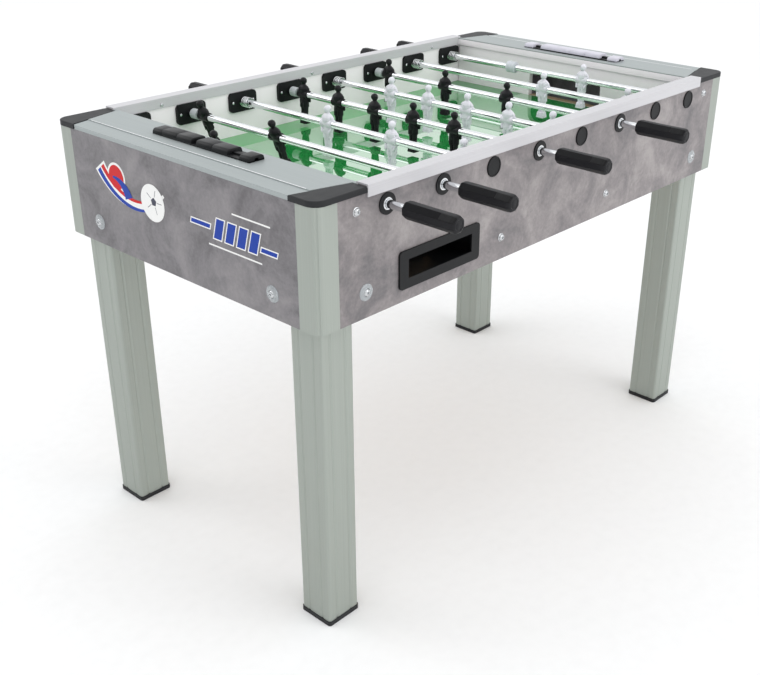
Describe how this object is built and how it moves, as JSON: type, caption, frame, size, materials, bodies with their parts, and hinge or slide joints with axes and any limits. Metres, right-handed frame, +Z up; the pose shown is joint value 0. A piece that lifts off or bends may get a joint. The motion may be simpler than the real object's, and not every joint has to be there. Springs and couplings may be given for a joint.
{
  "type": "foosball table",
  "caption": "Free-standing foosball table with telescopic player rods, printed glass pitch, aluminium frame and legs, ball returns and sliding score counters.",
  "frame": {"origin": "on the floor, under the middle of the table", "axes": "+X along the table towards the end with the pale counters, +Y across the table, +Z up"},
  "size_m": [1.401, 1.112, 0.9275],
  "materials": {
    "stone_laminate": "grey stone-pattern laminate on board, satin",
    "white_laminate": "white laminate on board, satin",
    "pitch_print": "tempered glass printed green on its back, gloss",
    "mdf_board": "bare fibre board",
    "satin_aluminium": "satin anodised extrusion",
    "rail_aluminium": "bright satin anodised extrusion",
    "deck_aluminium": "satin anodised sheet",
    "black_plastic": "fine-textured black plastic",
    "grey_plastic": "moulded grey plastic",
    "bush_nylon": "black nylon",
    "spring_steel": "bright plated spring wire",
    "scorer_black": "black plastic",
    "bolt_steel": "zinc-plated steel",
    "chrome_tube": "polished chrome plate",
    "guide_steel": "bright drawn steel",
    "handle_black": "black moulded grip",
    "dark_player": "black moulded plastic",
    "clear_player": "milky clear moulded plastic",
    "counter_black": "black plastic",
    "counter_white": "pale plastic"
  },
  "bodies": {
    "cabinet": {"side_panels": "stone_laminate", "end_panels": "stone_laminate", "goal_walls": "white_laminate", "pitch_glass": "pitch_print", "pitch_board": "mdf_board", "cross_beams": "mdf_board", "corner_posts": "satin_aluminium", "legs": "satin_aluminium", "leg_feet": "black_plastic", "side_rails": "rail_aluminium", "end_rails": "deck_aluminium", "corner_caps": "black_plastic", "ball_outlets": "black_plastic", "ball_returns": "grey_plastic", "rod_bushes": "bush_nylon", "rod_end_plugs": "bush_nylon", "rod_springs": "spring_steel", "scorer_rails": "scorer_black", "panel_bolts": "bolt_steel", "rail_screws": "bolt_steel"},
    "guide_1": {"rod_1_guide": "guide_steel"},
    "rod_1": {"rod_1_tube": "chrome_tube", "rod_1_handle": "handle_black", "rod_1_figures": "dark_player"},
    "guide_2": {"rod_2_guide": "guide_steel"},
    "rod_2": {"rod_2_tube": "chrome_tube", "rod_2_handle": "handle_black", "rod_2_figures": "dark_player"},
    "guide_3": {"rod_3_guide": "guide_steel"},
    "rod_3": {"rod_3_tube": "chrome_tube", "rod_3_handle": "handle_black", "rod_3_figures": "clear_player"},
    "guide_4": {"rod_4_guide": "guide_steel"},
    "rod_4": {"rod_4_tube": "chrome_tube", "rod_4_handle": "handle_black", "rod_4_figures": "dark_player"},
    "guide_5": {"rod_5_guide": "guide_steel"},
    "rod_5": {"rod_5_tube": "chrome_tube", "rod_5_handle": "handle_black", "rod_5_figures": "clear_player"},
    "guide_6": {"rod_6_guide": "guide_steel"},
    "rod_6": {"rod_6_tube": "chrome_tube", "rod_6_handle": "handle_black", "rod_6_figures": "dark_player"},
    "guide_7": {"rod_7_guide": "guide_steel"},
    "rod_7": {"rod_7_tube": "chrome_tube", "rod_7_handle": "handle_black", "rod_7_figures": "clear_player"},
    "guide_8": {"rod_8_guide": "guide_steel"},
    "rod_8": {"rod_8_tube": "chrome_tube", "rod_8_handle": "handle_black", "rod_8_figures": "clear_player"},
    "left_counter_1": {"counter_left_1": "counter_black"},
    "left_counter_2": {"counter_left_2": "counter_black"},
    "left_counter_3": {"counter_left_3": "counter_black"},
    "left_counter_4": {"counter_left_4": "counter_black"},
    "right_counter_2": {"counter_right_2": "counter_white"},
    "right_counter_1": {"counter_right_1": "counter_white"},
    "right_counter_3": {"counter_right_3": "counter_white"},
    "right_counter_4": {"counter_right_4": "counter_white"}
  },
  "joints": [
    {"name": "rod_1_spin", "type": "hinge", "parent": "cabinet", "child": "guide_1", "pos_m": [-0.525, 0, 0.873], "axis": [0, 1, 0], "range_deg": [-200, 62]},
    {"name": "rod_1_slide", "type": "slide", "parent": "guide_1", "child": "rod_1", "axis": [0, -1, 0], "range_m": [0, 0.176]},
    {"name": "rod_2_spin", "type": "hinge", "parent": "cabinet", "child": "guide_2", "pos_m": [-0.375, 0, 0.873], "axis": [0, 1, 0], "continuous": true},
    {"name": "rod_2_slide", "type": "slide", "parent": "guide_2", "child": "rod_2", "axis": [0, -1, 0], "range_m": [0, 0.386]},
    {"name": "rod_3_spin", "type": "hinge", "parent": "cabinet", "child": "guide_3", "pos_m": [-0.225, 0, 0.873], "axis": [0, 1, 0], "continuous": true},
    {"name": "rod_3_slide", "type": "slide", "parent": "guide_3", "child": "rod_3", "axis": [0, 1, 0], "range_m": [0, 0.24]},
    {"name": "rod_4_spin", "type": "hinge", "parent": "cabinet", "child": "guide_4", "pos_m": [-0.075, 0, 0.873], "axis": [0, 1, 0], "continuous": true},
    {"name": "rod_4_slide", "type": "slide", "parent": "guide_4", "child": "rod_4", "axis": [0, -1, 0], "range_m": [0, 0.15]},
    {"name": "rod_5_spin", "type": "hinge", "parent": "cabinet", "child": "guide_5", "pos_m": [0.075, 0, 0.873], "axis": [0, 1, 0], "continuous": true},
    {"name": "rod_5_slide", "type": "slide", "parent": "guide_5", "child": "rod_5", "axis": [0, 1, 0], "range_m": [0, 0.15]},
    {"name": "rod_6_spin", "type": "hinge", "parent": "cabinet", "child": "guide_6", "pos_m": [0.225, 0, 0.873], "axis": [0, 1, 0], "continuous": true},
    {"name": "rod_6_slide", "type": "slide", "parent": "guide_6", "child": "rod_6", "axis": [0, -1, 0], "range_m": [0, 0.24]},
    {"name": "rod_7_spin", "type": "hinge", "parent": "cabinet", "child": "guide_7", "pos_m": [0.375, 0, 0.873], "axis": [0, 1, 0], "continuous": true},
    {"name": "rod_7_slide", "type": "slide", "parent": "guide_7", "child": "rod_7", "axis": [0, 1, 0], "range_m": [0, 0.386]},
    {"name": "rod_8_spin", "type": "hinge", "parent": "cabinet", "child": "guide_8", "pos_m": [0.525, 0, 0.873], "axis": [0, 1, 0], "range_deg": [-62, 200]},
    {"name": "rod_8_slide", "type": "slide", "parent": "guide_8", "child": "rod_8", "axis": [0, 1, 0], "range_m": [0, 0.176]},
    {"name": "left_counter_1_slide", "type": "slide", "parent": "cabinet", "child": "left_counter_1", "axis": [0, -1, 0], "range_m": [0, 0.007]},
    {"name": "left_counter_2_slide", "type": "slide", "parent": "left_counter_1", "child": "left_counter_2", "axis": [0, -1, 0], "range_m": [0, 0.007]},
    {"name": "left_counter_3_slide", "type": "slide", "parent": "cabinet", "child": "left_counter_3", "axis": [0, -1, 0], "range_m": [0, 0.016]},
    {"name": "left_counter_4_slide", "type": "slide", "parent": "left_counter_3", "child": "left_counter_4", "axis": [0, -1, 0], "range_m": [0, 0.016]},
    {"name": "right_counter_2_slide", "type": "slide", "parent": "cabinet", "child": "right_counter_2", "axis": [0, 1, 0], "range_m": [0, 0.012]},
    {"name": "right_counter_1_slide", "type": "slide", "parent": "right_counter_2", "child": "right_counter_1", "axis": [0, 1, 0], "range_m": [0, 0.012]},
    {"name": "right_counter_3_slide", "type": "slide", "parent": "cabinet", "child": "right_counter_3", "axis": [0, -1, 0], "range_m": [0, 0.011]},
    {"name": "right_counter_4_slide", "type": "slide", "parent": "right_counter_3", "child": "right_counter_4", "axis": [0, -1, 0], "range_m": [0, 0.011]}
  ]
}
